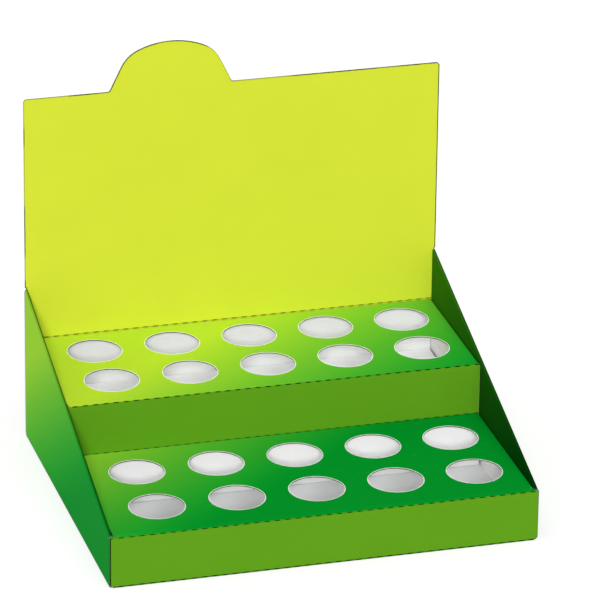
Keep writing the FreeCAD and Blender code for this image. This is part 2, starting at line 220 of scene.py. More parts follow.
class BoardEffects:
    """The shader groups that the finishes of the board share, each built once."""

    FLOAT = "NodeSocketFloat"
    VECTOR = "NodeSocketVector"
    COLOUR = "NodeSocketColor"

    def __init__(self) -> None:
        """Build every group."""
        self.print_and_shade_line = self.build_print_and_shade_line()
        self.edge_line = self.build_edge_line()
        self.fade = self.build_fade()
        self.fibre = self.build_fibre()
        self.mottle = self.build_mottle()
        self.scuffs = self.build_scuffs()

    def build_print_and_shade_line(self) -> bpy.types.NodeTree:
        """A thin dashed dark line where a plane at the offset along the direction meets the sheet: a printed
        keyline, and along folds also painted crease shade.

        Returns:
            The group.
        """
        inputs = [
            ("Position", self.VECTOR, None),
            ("Direction", self.VECTOR, (0, 0, 1)),
            ("Offset", self.FLOAT, 0.0),
            ("Half Width", self.FLOAT, 0.3),
            ("Strength", self.FLOAT, 1.0),
            ("Dash Direction", self.VECTOR, (1, 0, 0)),
            ("Dash Pitch", self.FLOAT, 7.0),
            ("Between Dashes", self.FLOAT, 1.0),
        ]
        graph, given, made = new_group("print_and_shade_line", "ShaderNodeTree", inputs, [("Mask", self.FLOAT)])
        along = graph.vector("DOT_PRODUCT", given.outputs["Position"], given.outputs["Direction"])
        away = graph.math("ABSOLUTE", graph.math("SUBTRACT", along, given.outputs["Offset"]))
        share = graph.math("DIVIDE", away, given.outputs["Half Width"])
        line = graph.span(share, 0.8, 1.2, 1.0, 0.0)
        run = graph.vector("DOT_PRODUCT", given.outputs["Position"], given.outputs["Dash Direction"])
        turn = graph.math("MULTIPLY", graph.math("DIVIDE", run, given.outputs["Dash Pitch"]), math.tau)
        dash = graph.span(graph.math("SINE", turn), -0.3, 0.3, 0.0, 1.0)
        shown = graph.add("ShaderNodeMix", {0: dash, 2: given.outputs["Between Dashes"], 3: 1.0})
        strength = graph.math("MULTIPLY", shown.outputs[0], given.outputs["Strength"])
        graph.put(made.inputs["Mask"], graph.math("MULTIPLY", line, strength))
        return graph.tree

    def build_edge_line(self) -> bpy.types.NodeTree:
        """A thin line along a sheet's outline, darker in some stretches than in others.

        Returns:
            The group.
        """
        inputs = [
            ("Position", self.VECTOR, None),
            ("Edge", self.FLOAT, 0.0),
            ("Reach", self.FLOAT, 0.8),
            ("Faint", self.FLOAT, 0.3),
            ("Strong", self.FLOAT, 0.9),
        ]
        graph, given, made = new_group("edge_line", "ShaderNodeTree", inputs, [("Mask", self.FLOAT)])
        inner = graph.math("SUBTRACT", 1.0, given.outputs["Reach"])
        near = graph.math("GREATER_THAN", given.outputs["Edge"], inner)
        stretch = graph.noise(given.outputs["Position"], 0.035, 1.5)
        dark = graph.span(stretch, 0.46, 0.56, 0.0, 1.0)
        shown = graph.add("ShaderNodeMix", {0: dark, 2: given.outputs["Faint"], 3: given.outputs["Strong"]})
        graph.put(made.inputs["Mask"], graph.math("MULTIPLY", near, shown.outputs[0]))
        return graph.tree

    def build_fade(self) -> bpy.types.NodeTree:
        """A print that fades evenly, as it shows on a screen, from one ink to another.

        Returns:
            The group.
        """
        inputs = [
            ("Position", self.VECTOR, None),
            ("Direction", self.VECTOR, (1, 0, 0)),
            ("Start", self.FLOAT, 0.0),
            ("End", self.FLOAT, 1.0),
            ("First Ink", self.COLOUR, (1, 1, 1, 1)),
            ("Last Ink", self.COLOUR, (0, 0, 0, 1)),
        ]
        graph, given, made = new_group("print_fade", "ShaderNodeTree", inputs, [("Color", self.COLOUR)])
        along = graph.vector("DOT_PRODUCT", given.outputs["Position"], given.outputs["Direction"])
        from_start = graph.math("SUBTRACT", along, given.outputs["Start"])
        whole = graph.math("SUBTRACT", given.outputs["End"], given.outputs["Start"])
        share = graph.math("DIVIDE", from_start, whole, clamp=True)
        shown = graph.blend(share, given.outputs["First Ink"], given.outputs["Last Ink"])
        gamma = graph.add("ShaderNodeGamma", {"Color": shown, "Gamma": 2.2})
        graph.put(made.inputs["Color"], gamma.outputs[0])
        return graph.tree

    def build_fibre(self) -> bpy.types.NodeTree:
        """The board's fibres, longer along its grain, as a height and as a tone.

        Returns:
            The group.
        """
        inputs = [("Position", self.VECTOR, None), ("Fibres per mm", self.FLOAT, 3.0)]
        outputs = [("Height", self.FLOAT), ("Tone", self.FLOAT)]
        graph, given, made = new_group("board_fibre", "ShaderNodeTree", inputs, outputs)
        stretched = graph.vector("MULTIPLY", given.outputs["Position"], (0.35, 1.0, 1.0))
        fine = graph.noise(stretched, given.outputs["Fibres per mm"], 4.0, 0.6)
        cloud = graph.noise(given.outputs["Position"], 0.22, 3.0)
        graph.put(made.inputs["Height"], graph.math("MULTIPLY_ADD", cloud, 0.5, fine))
        graph.put(made.inputs["Tone"], graph.span(fine, 0.3, 0.7, 0.0, 1.0))
        return graph.tree

    def build_mottle(self) -> bpy.types.NodeTree:
        """The uneven lay of ink: broad clouds and a fine grain that lighten and darken a colour.

        Returns:
            The group.
        """
        inputs = [
            ("Position", self.VECTOR, None),
            ("Color", self.COLOUR, (1, 1, 1, 1)),
            ("Clouds", self.FLOAT, 0.03),
            ("Grain", self.FLOAT, 0.03),
        ]
        graph, given, made = new_group("ink_mottle", "ShaderNodeTree", inputs, [("Color", self.COLOUR)])
        parts = []
        for amount, scale, detail in (("Clouds", 0.03, 2.0), ("Grain", 1.7, 3.0)):
            uneven = graph.math("SUBTRACT", graph.noise(given.outputs["Position"], scale, detail), 0.5)
            parts.append(graph.math("MULTIPLY", uneven, given.outputs[amount]))
        tone = graph.math("ADD", graph.math("ADD", *parts), 1.0)
        graph.put(made.inputs["Color"], graph.vector("SCALE", given.outputs["Color"], tone))
        return graph.tree

    def build_scuffs(self) -> bpy.types.NodeTree:
        """Faint rubbed marks from handling, short and few.

        Returns:
            The group.
        """
        inputs = [("Position", self.VECTOR, None), ("Amount", self.FLOAT, 0.3)]
        graph, given, made = new_group("handling_scuffs", "ShaderNodeTree", inputs, [("Mask", self.FLOAT)])
        position = given.outputs["Position"]
        drawn_out = graph.vector("MULTIPLY", position, (0.12, 0.5, 0.9))
        line = graph.span(graph.noise(drawn_out, 0.9, 5.0, 1.2), 0.66, 0.74, 0.0, 1.0)
        where = graph.span(graph.noise(position, 0.018, 1.0), 0.5, 0.62, 0.0, 1.0)
        shown = graph.math("MULTIPLY", graph.math("MULTIPLY", line, where), given.outputs["Amount"])
        graph.put(made.inputs["Mask"], shown)
        return graph.tree


@dataclass(frozen=True)
class Ink:
    """A colour as it shows on a screen, each channel from 0 to 255."""

    red: float
    green: float
    blue: float

    def shown(self) -> tuple[float, float, float, float]:
        """The screen values from 0 to 1."""
        return (self.red / 255, self.green / 255, self.blue / 255, 1.0)

    def light(self) -> tuple[float, float, float, float]:
        """The amounts of light that a plain colour socket takes."""
        return tuple(channel**2.2 for channel in self.shown()[:3]) + (1.0,)


LIME = Ink(182, 217, 54)
LEAF = Ink(150, 206, 54)
GREEN = Ink(0, 138, 43)
OLIVE = Ink(96, 156, 34)
YELLOW = Ink(213, 224, 60)
# The walls' green darkened into painted shade, for the inner panels: lighter at the back, darkest at the
# front.
SHADE_BACK = Ink(51, 107, 18)
SHADE_FRONT = Ink(3, 52, 14)
# The dark ink of the thin lines along folds and edges, which are partly print and partly painted crease
# shade.
LINE_PRINT_AND_SHADE_INK = Ink(6, 44, 4)
LINER = Ink(249, 249, 248)
# The liner's white in lighter and darker copies: painted light on the shelf, painted shade inside the tray,
# under the insert and at the shelf's feet.
LINER_PAINTED_LIGHT = Ink(255, 255, 255)
LINER_PAINTED_HALF_SHADE = Ink(238, 239, 239)
LINER_PAINTED_SHADE = Ink(226, 227, 227)
CORE = Ink(66, 62, 44)
RUBBED = Ink(226, 230, 196)


@dataclass(frozen=True)
class Dash:
    """How a line is broken up along its way, in millimetres."""

    direction: Triple = (1.0, 0.0, 0.0)
    pitch: float = 7.2
    between: float = 0.35


PLAIN_LINE = Dash(between=1.0)


@dataclass(frozen=True)
class PrintAndShadeLine:
    """A thin dark line along a fold or an edge, in millimetres: printed, and along folds also painted shade
    in the crease.
    """

    direction: Triple
    offset: float
    half_width: float = 0.3
    strength: float = 0.9
    dash: Dash = PLAIN_LINE


@dataclass(frozen=True)
class Fade:
    """An even fade from one ink to another along a direction, in millimetres."""

    first: Ink
    last: Ink
    direction: Triple = (1.0, 0.0, 0.0)
    start: float = -1.0
    end: float = 1.0

    def place(self, graph: Graph, effects: BoardEffects, position: Socket) -> Socket:
        """Place the fade in a material.

        Args:
            graph: The material's graph.
            effects: The shared shader groups.
            position: Place on the piece in millimetres.

        Returns:
            The colour.
        """
        return group(graph, effects.fade, {
            "Position": position,
            "Direction": self.direction,
            "Start": self.start,
            "End": self.end,
            "First Ink": self.first.shown(),
            "Last Ink": self.last.shown(),
        }).outputs["Color"]


@dataclass(frozen=True)
class EdgeLine:
    """A thin line along a printed face's outline: the share of its band that it takes, and its strengths."""

    reach: float = 0.8
    faint: float = 0.3
    strong: float = 0.9


@dataclass(frozen=True)
class Bare:
    """The unprinted stretch of a wall, below one height in front of a place and another behind it."""

    step: float
    front_height: float
    back_height: float


@dataclass(frozen=True)
class PrintedFinish:
    """Offset print under a matt varnish on the white liner, its dark lines along folds partly painted crease
    shade.
    """

    name: str
    fade: Fade
    lines: tuple[PrintAndShadeLine, ...] = ()
    edge: Optional[EdgeLine] = None
    bare: Optional[Bare] = None
    roughness: float = 0.6
    gloss: float = 0.01
    clouds: float = 0.05
    grain: float = 0.05
    scuffs: float = 0.04

    def build(self, effects: BoardEffects) -> bpy.types.Material:
        """Build the material.

        Args:
            effects: The shared shader groups.

        Returns:
            The material.
        """
        material, graph, surface, position = start_material(self.name)
        colour = self.fade.place(graph, effects, position)
        masks = [self.line_mask(graph, effects, position, line) for line in self.lines]
        if self.edge:
            masks.append(self.edge_mask(graph, effects, position))
        for mask in masks:
            # Dark lines along folds and edges: partly print, partly painted crease shade.
            colour = graph.blend(mask, colour, LINE_PRINT_AND_SHADE_INK.light())
        if self.bare:
            colour = graph.blend(self.bare_mask(graph, position), colour, LINER.light())
        scuff = group(graph, effects.scuffs, {"Position": position, "Amount": self.scuffs}).outputs["Mask"]
        colour = graph.blend(scuff, colour, RUBBED.light())
        mottled = group(graph, effects.mottle, {
            "Position": position, "Color": colour, "Clouds": self.clouds, "Grain": self.grain,
        })
        fibre = group(graph, effects.fibre, {"Position": position, "Fibres per mm": 2.2})
        rough = graph.math("MULTIPLY_ADD", fibre.outputs["Tone"], 0.08, self.roughness - 0.04)
        rough = graph.math("MULTIPLY_ADD", scuff, 0.25, rough)
        graph.put(surface.inputs["Base Color"], mottled.outputs["Color"])
        graph.put(surface.inputs["Roughness"], rough)
        surface.inputs["Specular IOR Level"].default_value = self.gloss
        finish_bump(graph, surface, fibre.outputs["Height"], 0.12)
        return material

    def line_mask(self, graph: Graph, effects: BoardEffects, position: Socket, line: PrintAndShadeLine) -> Socket:
        """The mask of one straight line.

        Args:
            graph: The material's graph.
            effects: The shared shader groups.
            position: Place on the piece in millimetres.
            line: The line.

        Returns:
            The mask.
        """
        return group(graph, effects.print_and_shade_line, {
            "Position": position,
            "Direction": line.direction,
            "Offset": line.offset,
            "Half Width": line.half_width,
            "Strength": line.strength,
            "Dash Direction": line.dash.direction,
            "Dash Pitch": line.dash.pitch,
            "Between Dashes": line.dash.between,
        }).outputs["Mask"]

    def edge_mask(self, graph: Graph, effects: BoardEffects, position: Socket) -> Socket:
        """The mask of the line along the outline.

        Args:
            graph: The material's graph.
            effects: The shared shader groups.
            position: Place on the piece in millimetres.

        Returns:
            The mask.
        """
        edge = graph.add("ShaderNodeAttribute", attribute_name="edge").outputs["Fac"]
        return group(graph, effects.edge_line, {
            "Position": position,
            "Edge": edge,
            "Reach": self.edge.reach,
            "Faint": self.edge.faint,
            "Strong": self.edge.strong,
        }).outputs["Mask"]

    def bare_mask(self, graph: Graph, position: Socket) -> Socket:
        """The mask of the unprinted stretch.

        Args:
            graph: The material's graph.
            position: Place on the piece in millimetres.

        Returns:
            The mask.
        """
        depth = graph.vector("DOT_PRODUCT", position, (0.0, 1.0, 0.0))
        height = graph.vector("DOT_PRODUCT", position, (0.0, 0.0, 1.0))
        behind = graph.math("GREATER_THAN", depth, self.bare.step)
        rise = self.bare.back_height - self.bare.front_height
        limit = graph.math("MULTIPLY_ADD", behind, rise, self.bare.front_height)
        return graph.math("LESS_THAN", height, limit)


@dataclass(frozen=True)
class PlainFinish:
    """The unprinted white liner, with loose fibres and a few grey specks; its tone is darkened as painted
    shade in some pieces and lightened as painted light on the shelf.
    """

    name: str
    tone: Ink = LINER
    fade: Optional[Fade] = None
    roughness: float = 0.78
    gloss: float = 0.3

    def build(self, effects: BoardEffects) -> bpy.types.Material:
        """Build the material.

        Args:
            effects: The shared shader groups.

        Returns:
            The material.
        """
        material, graph, surface, position = start_material(self.name)
        fibre = group(graph, effects.fibre, {"Position": position, "Fibres per mm": 1.4})
        specks = graph.add("ShaderNodeTexVoronoi", {"Vector": position, "Scale": 0.28, "Randomness": 1.0})
        speck = graph.span(specks.outputs["Distance"], 0.05, 0.08, 0.35, 0.0)
        base = self.fade.place(graph, effects, position) if self.fade else self.tone.light()
        colour = graph.blend(speck, base, CORE.light())
        mottled = group(graph, effects.mottle, {
            "Position": position, "Color": colour, "Clouds": 0.04, "Grain": 0.05,
        })
        rough = graph.math("MULTIPLY_ADD", fibre.outputs["Tone"], 0.1, self.roughness - 0.05)
        graph.put(surface.inputs["Base Color"], mottled.outputs["Color"])
        graph.put(surface.inputs["Roughness"], rough)
        surface.inputs["Specular IOR Level"].default_value = self.gloss
        finish_bump(graph, surface, fibre.outputs["Height"], 0.2)
        return material


@dataclass(frozen=True)
class CutFinish:
    """The cut through the board: a dark pulp core between two thin white liners."""

    name: str
    liner_share: float = 0.08
    roughness: float = 0.88
    gloss: float = 0.2

    def build(self, effects: BoardEffects) -> bpy.types.Material:
        """Build the material.

        Args:
            effects: The shared shader groups.

        Returns:
            The material.
        """
        material, graph, surface, position = start_material(self.name)
        ply = graph.add("ShaderNodeAttribute", attribute_name="ply").outputs["Fac"]
        fibre = group(graph, effects.fibre, {"Position": position, "Fibres per mm": 4.0})
        ragged = graph.math("MULTIPLY_ADD", graph.math("SUBTRACT", fibre.outputs["Tone"], 0.5), 0.06, ply)
        from_middle = graph.math("ABSOLUTE", graph.math("SUBTRACT", ragged, 0.5))
        edge = 0.5 - self.liner_share
        liner = graph.span(from_middle, edge - 0.03, edge + 0.03, 0.0, 1.0)
        colour = graph.blend(liner, CORE.light(), LINER.light())
        mottled = group(graph, effects.mottle, {
            "Position": position, "Color": colour, "Clouds": 0.05, "Grain": 0.25,
        })
        graph.put(surface.inputs["Base Color"], mottled.outputs["Color"])
        surface.inputs["Roughness"].default_value = self.roughness
        surface.inputs["Specular IOR Level"].default_value = self.gloss
        finish_bump(graph, surface, fibre.outputs["Height"], 0.5)
        return material


def start_material(name: str) -> tuple[bpy.types.Material, Graph, Any, Socket]:
    """Start a material that reads its piece's own coordinates.

    Args:
        name: The material's name.

    Returns:
        The material, its graph, its shader and the place on the piece in millimetres.
    """
    material = bpy.data.materials.new(name)
    material.use_nodes = True
    graph = Graph(material.node_tree)
    surface = material.node_tree.nodes["Principled BSDF"]
    coordinates = graph.add("ShaderNodeTexCoord").outputs["Object"]
    return material, graph, surface, graph.vector("SCALE", coordinates, 1 / MM)


def group(graph: Graph, tree: bpy.types.NodeTree, inputs: dict) -> bpy.types.Node:
    """Place a shader group.

    Args:
        graph: The graph to place it in.
        tree: The group.
        inputs: Values by input name.

    Returns:
        The group's node.
    """
    node = graph.tree.nodes.new("ShaderNodeGroup")
    node.node_tree = tree
    for name, value in inputs.items():
        graph.put(node.inputs[name], value)
    return node


def finish_bump(graph: Graph, surface: Any, height: Socket, strength: float) -> None:
    """Join a height to a shader as a fine bump.

    Args:
        graph: The material's graph.
        surface: The shader.
        height: The height.
        strength: How much of the bump shows.
    """
    bump = graph.add("ShaderNodeBump", {"Height": height, "Strength": strength, "Distance": 0.03 * MM})
    graph.put(surface.inputs["Normal"], bump.outputs["Normal"])


@dataclass(frozen=True)
class Fold:
    """A rounded fold, by a point of its sharp corner, the ways that its faces look and its outer radius.

    Lengths are millimetres.
    """

    corner: Triple
    one: Triple
    two: Triple
    radius: float

    def line(self, turn: float, spread: float, strength: float = 0.9, dash: Dash = PLAIN_LINE) -> PrintAndShadeLine:
        """A dark line along the fold, partly print and partly painted crease shade.

        Args:
            turn: Where round the fold its middle lies, in degrees from the first face.
            spread: How far it reaches to each side of that, in degrees.
            strength: How dark it is.
            dash: How it is broken up.

        Returns:
            The line.
        """
        a = math.radians(turn)
        one, two = Vector(self.one), Vector(self.two)
        way = one * math.cos(a) + two * math.sin(a)
        centre = Vector(self.corner) - (one + two) * self.radius
        half_width = abs(self.radius) * (1 - math.cos(math.radians(spread)))
        return PrintAndShadeLine(tuple(way), way.dot(centre) + self.radius, half_width, strength, dash)


@dataclass(frozen=True)
class Places:
    """Where the folds of the four sheets lie, in millimetres, worked out from the frame."""

    tray_low: Vector
    tray_high: Vector
    insert_low: Vector
    insert_high: Vector
    shelf_high: Vector
    header_low: Vector
    header_high: Vector
    board: float = 0.8
    fold: float = 1.0
    side_wall: float = 2.1
    side_back_height: float = 114.0
    riser: float = 5.0
    hole_radius: float = 19.0
    hole_pitch: float = 56.0
    hole_columns: int = 5
    first_hole: float = -107.5
    lower_rows: Pair = (-85.0, -29.5)
    upper_rows: Pair = (41.5, 92.0)

    @classmethod
    def read(cls) -> "Places":
        """Read the boxes of the four nodes.

        Returns:
            The places.
        """
        boxes = {name: [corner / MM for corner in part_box(name)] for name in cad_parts}
        return cls(
            *boxes["tray"], *boxes["stepped_insert"], boxes["inner_shelf"][1], *boxes["header_card"]
        )

    @property
    def lower(self) -> float:
        """Height of the lower tier."""
        return self.shelf_high.z + self.board

    @property
    def upper(self) -> float:
        """Height of the upper tier."""
        return self.insert_high.z

    @property
    def slope(self) -> float:
        """Angle of the side walls' top edge."""
        depth = self.tray_high.y - self.tray_low.y
        return math.atan2(self.side_back_height - self.lower, depth)


class SheetMesh:
    """A merged copy of a folded sheet whose faces are told apart."""

    SAME_PLACE = 1e-6
    FOLD_STEP = math.radians(40)

    def __init__(self, node: str, printed_way: Triple, plain_way: Triple) -> None:
        """Copy the node's mesh and sort its faces.

        Args:
            node: The CAD node.
            printed_way: Direction that the outermost printed face looks in.
            plain_way: Direction that the largest plain face looks in.
        """
        self.node = node
        self.bm = bmesh.new()
        self.bm.from_mesh(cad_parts[node].data)
        bmesh.ops.remove_doubles(self.bm, verts=self.bm.verts, dist=self.SAME_PLACE)
        self.bm.faces.ensure_lookup_table()
        self.kind = {face: Face.CUT for face in self.bm.faces}
        self.spread(self.seed(printed_way, True), Face.PRINTED)
        self.spread(self.seed(plain_way, False), Face.PLAIN)

    def seed(self, way: Triple, outermost: bool) -> bmesh.types.BMFace:
        """Find a face that looks a given way.

        Args:
            way: The direction.
            outermost: Whether to take the furthest such face, and not the largest one left over.

        Returns:
            The face.
        """
        way = Vector(way)
        facing = [f for f in self.bm.faces if f.normal.dot(way) > 0.999 and self.kind[f] is Face.CUT]
        if outermost:
            return max(facing, key=lambda f: (round(f.calc_center_median().dot(way), 6), f.calc_area()))
        return max(facing, key=lambda f: f.calc_area())

    def spread(self, start: bmesh.types.BMFace, kind: Face) -> None:
        """Mark a face and all that a smooth or folded surface joins to it.

        Args:
            start: The first face.
            kind: What the faces are.
        """
        self.kind[start] = kind
        waiting = [start]
        while waiting:
            face = waiting.pop()
            for edge in face.edges:
                if len(edge.link_faces) != 2 or edge.calc_face_angle() > self.FOLD_STEP:
                    continue
                for other in edge.link_faces:
                    if self.kind[other] is Face.CUT:
                        self.kind[other] = kind
                        waiting.append(other)

    def band(self, chosen: Callable[[bmesh.types.BMFace], bool], width: float) -> None:
        """Part off a narrow band along the outline of flat printed faces, marked on the edge attribute.

        Args:
            chosen: Says which printed faces take part.
            width: How wide the band is.
        """
        layer = self.bm.verts.layers.float.new("edge")
        faces = [face for face, kind in self.kind.items() if kind is Face.PRINTED and chosen(face)]
        inset = bmesh.ops.inset_region
        ring = inset(self.bm, faces=faces, thickness=width, use_even_offset=True, use_boundary=True)["faces"]
        for face in ring:
            self.kind[face] = Face.PRINTED
        for marked, value in ((ring, 1.0), (faces, 0.0)):
            for face in marked:
                for vertex in face.verts:
                    vertex[layer] = value

    def take_in(self, mesh: bpy.types.Mesh, kind: Face) -> None:
        """Add another mesh's faces to the sheet.

        Args:
            mesh: The mesh.
            kind: What its faces are.
        """
        self.bm.from_mesh(mesh)
        for face in self.bm.faces:
            self.kind.setdefault(face, kind)

    def finish(self, name: str, pick: Pick) -> bpy.types.Object:
        """Write the mesh with its materials, its ply attribute and its normals, all of it plain mesh.

        Args:
            name: The new piece's name.
            pick: Gives the material of a face.

        Returns:
            The new piece.
        """
        layer = self.bm.verts.layers.float.new("ply")
        for face, kind in self.kind.items():
            if kind is Face.PLAIN:
                for vertex in face.verts:
                    vertex[layer] = 1.0
        materials: list[bpy.types.Material] = []
        for face, kind in self.kind.items():
            material = pick(face, kind)
            if material not in materials:
                materials.append(material)
            face.material_index = materials.index(material)
            face.smooth = True
        for edge in self.bm.edges:
            edge.smooth = len(edge.link_faces) == 2 and edge.calc_face_angle() < self.FOLD_STEP
        mesh = bpy.data.meshes.new(name)
        self.bm.to_mesh(mesh)
        self.bm.free()
        for material in materials:
            mesh.materials.append(material)
        piece = bpy.data.objects.new(name, mesh)
        bpy.context.scene.collection.objects.link(piece)
        flatten_normals(piece)
        settle(piece)
        return piece


def settle(piece: bpy.types.Object) -> None:
    """Turn a piece's modifiers into plain mesh.

    Args:
        piece: The piece.
    """
    graph = bpy.context.evaluated_depsgraph_get()
    graph.update()
    mesh = bpy.data.meshes.new_from_object(piece.evaluated_get(graph), depsgraph=graph)
    piece.modifiers.clear()
    piece.data = mesh
    mesh.name = piece.name


def flatten_normals(piece: bpy.types.Object) -> None:
    """Let large flat faces keep their own normals beside small folds.

    Args:
        piece: The piece.
    """
    weighted = piece.modifiers.new("weighted", "WEIGHTED_NORMAL")
    weighted.keep_sharp = True
    weighted.weight = 100


@dataclass
class Tray:
    """The folded tray with its rolled-over front and side walls."""

    places: Places
    effects: BoardEffects
    bleed: float = 4.0
    overlap: float = 2.0
    foot_height: float = 0.8
    foot_line: float = 0.6
    slope_dash: float = 2.6
    flap_face: float = 0.9
    side_fade: Pair = (5.0, 215.0)
    shade_inset: float = 10.0
    riser_play: float = 0.4

    FACING = 0.7
    ACROSS = 0.71
    OVER_THE_ROLL = -0.5
    SLACK = 0.05
    CORNER = 3.0

    def outside(self) -> PrintedFinish:
        """The print on the outside of the side walls, with a faint painted shade over their rolled tops."""
        at = self.places
        left, right = at.tray_low.x, at.tray_high.x
        back = at.tray_high.y - at.board
        way, run = self.slope_ways()
        lines = [PrintAndShadeLine((0.0, 0.0, 1.0), self.foot_height, self.foot_line)]
        for x, side in ((left, -1.0), (right, 1.0)):
            out = (side, 0.0, 0.0)
            lines.append(Fold((x, back, 0), out, (0.0, 1.0, 0.0), at.fold).line(turn=25.0, spread=40.0))
            front_fold = Fold((x, at.tray_low.y + self.flap_face, 0), out, (0.0, -1.0, 0.0), at.fold)
            lines.append(front_fold.line(turn=40.0, spread=45.0))
            start = (x - side * at.side_wall, at.tray_low.y, at.lower)
            roll = Fold(start, way, (-side, 0.0, 0.0), at.fold)
            lines.append(roll.line(turn=22.0, spread=42.0, dash=Dash(run, self.slope_dash, 0.6)))
            # A faint painted shade over the outer half of each rolled top, dimming its lit side.
            lines.append(roll.line(turn=-50.0, spread=40.0, strength=0.35))
        fade = Fade(GREEN, LEAF, (0.0, 1.0, 1.6), *self.side_fade)
        return PrintedFinish("side_print", fade, tuple(lines))

    def front(self) -> PrintedFinish:
        """The print on the front wall and on the back wall, its dark lines at the top fold, the foot and the
        sides partly painted crease shade.
        """
        at = self.places
        front, left, right = at.tray_low.y, at.tray_low.x, at.tray_high.x
        top = Fold((0.0, front, at.lower), (0.0, -1.0, 0.0), (0.0, 0.0, 1.0), at.fold)
        lines = (
            top.line(turn=42.0, spread=34.0, strength=0.95, dash=Dash()),
            PrintAndShadeLine((0.0, 0.0, 1.0), self.foot_height, self.foot_line, 0.95, Dash(between=0.5)),
            PrintAndShadeLine((1.0, 0.0, 0.0), left, half_width=0.8, strength=0.95),
            PrintAndShadeLine((1.0, 0.0, 0.0), right, half_width=0.5, strength=0.5),
        )
        return PrintedFinish("front_print", Fade(OLIVE, OLIVE), lines)

    def inside(self) -> PrintedFinish:
        """The inner panels of the walls, printed in a green darkened into painted shade, darkest at the
        front.
        """
        at = self.places
        front, back = at.tray_low.y + self.shade_inset, at.tray_high.y - self.shade_inset
        # Painted shade: the inner panels' green is darkened, darkest at the front.
        fade = Fade(SHADE_FRONT, SHADE_BACK, (0.0, 1.0, 0.0), front, back)
        bare = Bare(at.riser + self.riser_play, at.lower - self.overlap, at.upper - self.overlap)
        way, run = self.slope_ways()
        start = (at.tray_high.x - at.side_wall, at.tray_low.y, at.lower)
        roll = Fold(start, way, (-1.0, 0.0, 0.0), at.fold)
        line = roll.line(turn=-38.0, spread=38.0, dash=Dash(run, self.slope_dash, 0.5))
        return PrintedFinish("inner_painted_shade_print", fade, (line,), bare=bare)

    def slope_ways(self) -> tuple[Triple, Triple]:
        """The way that the side walls' top looks and the way that it runs."""
        slope = self.places.slope
        return (0.0, -math.sin(slope), math.cos(slope)), (0.0, math.cos(slope), math.sin(slope))

    def spine(self) -> PrintedFinish:
        """The print on the narrow top of the front wall, which carries on the tier behind it."""
        return PrintedFinish("spine_print", lower_fade(self.places))

    def underside(self) -> PrintedFinish:
        """The unprinted underside, where the green of the walls bleeds over the folds."""
        at = self.places
        lines = (
            PrintAndShadeLine((1.0, 0.0, 0.0), at.tray_low.x, self.bleed),
            PrintAndShadeLine((1.0, 0.0, 0.0), at.tray_high.x, self.bleed),
            PrintAndShadeLine((0.0, 1.0, 0.0), at.tray_low.y, self.bleed),
            PrintAndShadeLine((0.0, 1.0, 0.0), at.tray_high.y, self.bleed),
        )
        return PrintedFinish("underside_print", Fade(LINER, LINER), lines)

    def build(self) -> bpy.types.Object:
        """Build and dress the tray.

        Returns:
            The piece.
        """
        at = self.places
        outside = self.outside().build(self.effects)
        front = self.front().build(self.effects)
        inside = self.inside().build(self.effects)
        spine = self.spine().build(self.effects)
        underside = self.underside().build(self.effects)
        # The tray's inner liner is darkened as painted shade.
        plain = PlainFinish("tray_inside", LINER_PAINTED_SHADE).build(self.effects)
        cut = CutFinish("tray_cut").build(self.effects)

        def pick(face: bmesh.types.BMFace, kind: Face) -> bpy.types.Material:
            """The material of one face of the tray."""
            if kind is Face.CUT:
                return cut
            if kind is Face.PLAIN:
                return plain
            x, y, z = face.calc_center_median() / MM
            n = face.normal
            outward = n.x * math.copysign(1.0, x)
            inner_face = at.tray_high.x - at.side_wall
            from_front = y - at.tray_low.y
            if n.z < -self.FACING:
                return underside
            in_wall = abs(x) > inner_face - self.SLACK and from_front > self.flap_face - self.SLACK
            if in_wall and abs(n.y) < self.ACROSS:
                shown = outward > self.FACING or (outward > self.OVER_THE_ROLL and x < 0)
                return outside if shown else inside
            if n.y < -self.FACING:
                return front
            if n.y > self.FACING:
                return front if y > 0 else inside
            return inside if abs(x) > inner_face - at.fold and from_front >= self.CORNER else spine

        piece = SheetMesh("tray", (0, -1, 0), (0, 0, 1)).finish("tray_board", pick)
        return piece


def lower_fade(at: Places) -> Fade:
    """The fade of the lower tier, from lime at its left rear to green at its right front.

    Args:
        at: The places of the folds; not used.

    Returns:
        The fade.
    """
    return Fade(LIME, GREEN, (1.0, -1.36, 0.0), -204.0, 85.0)


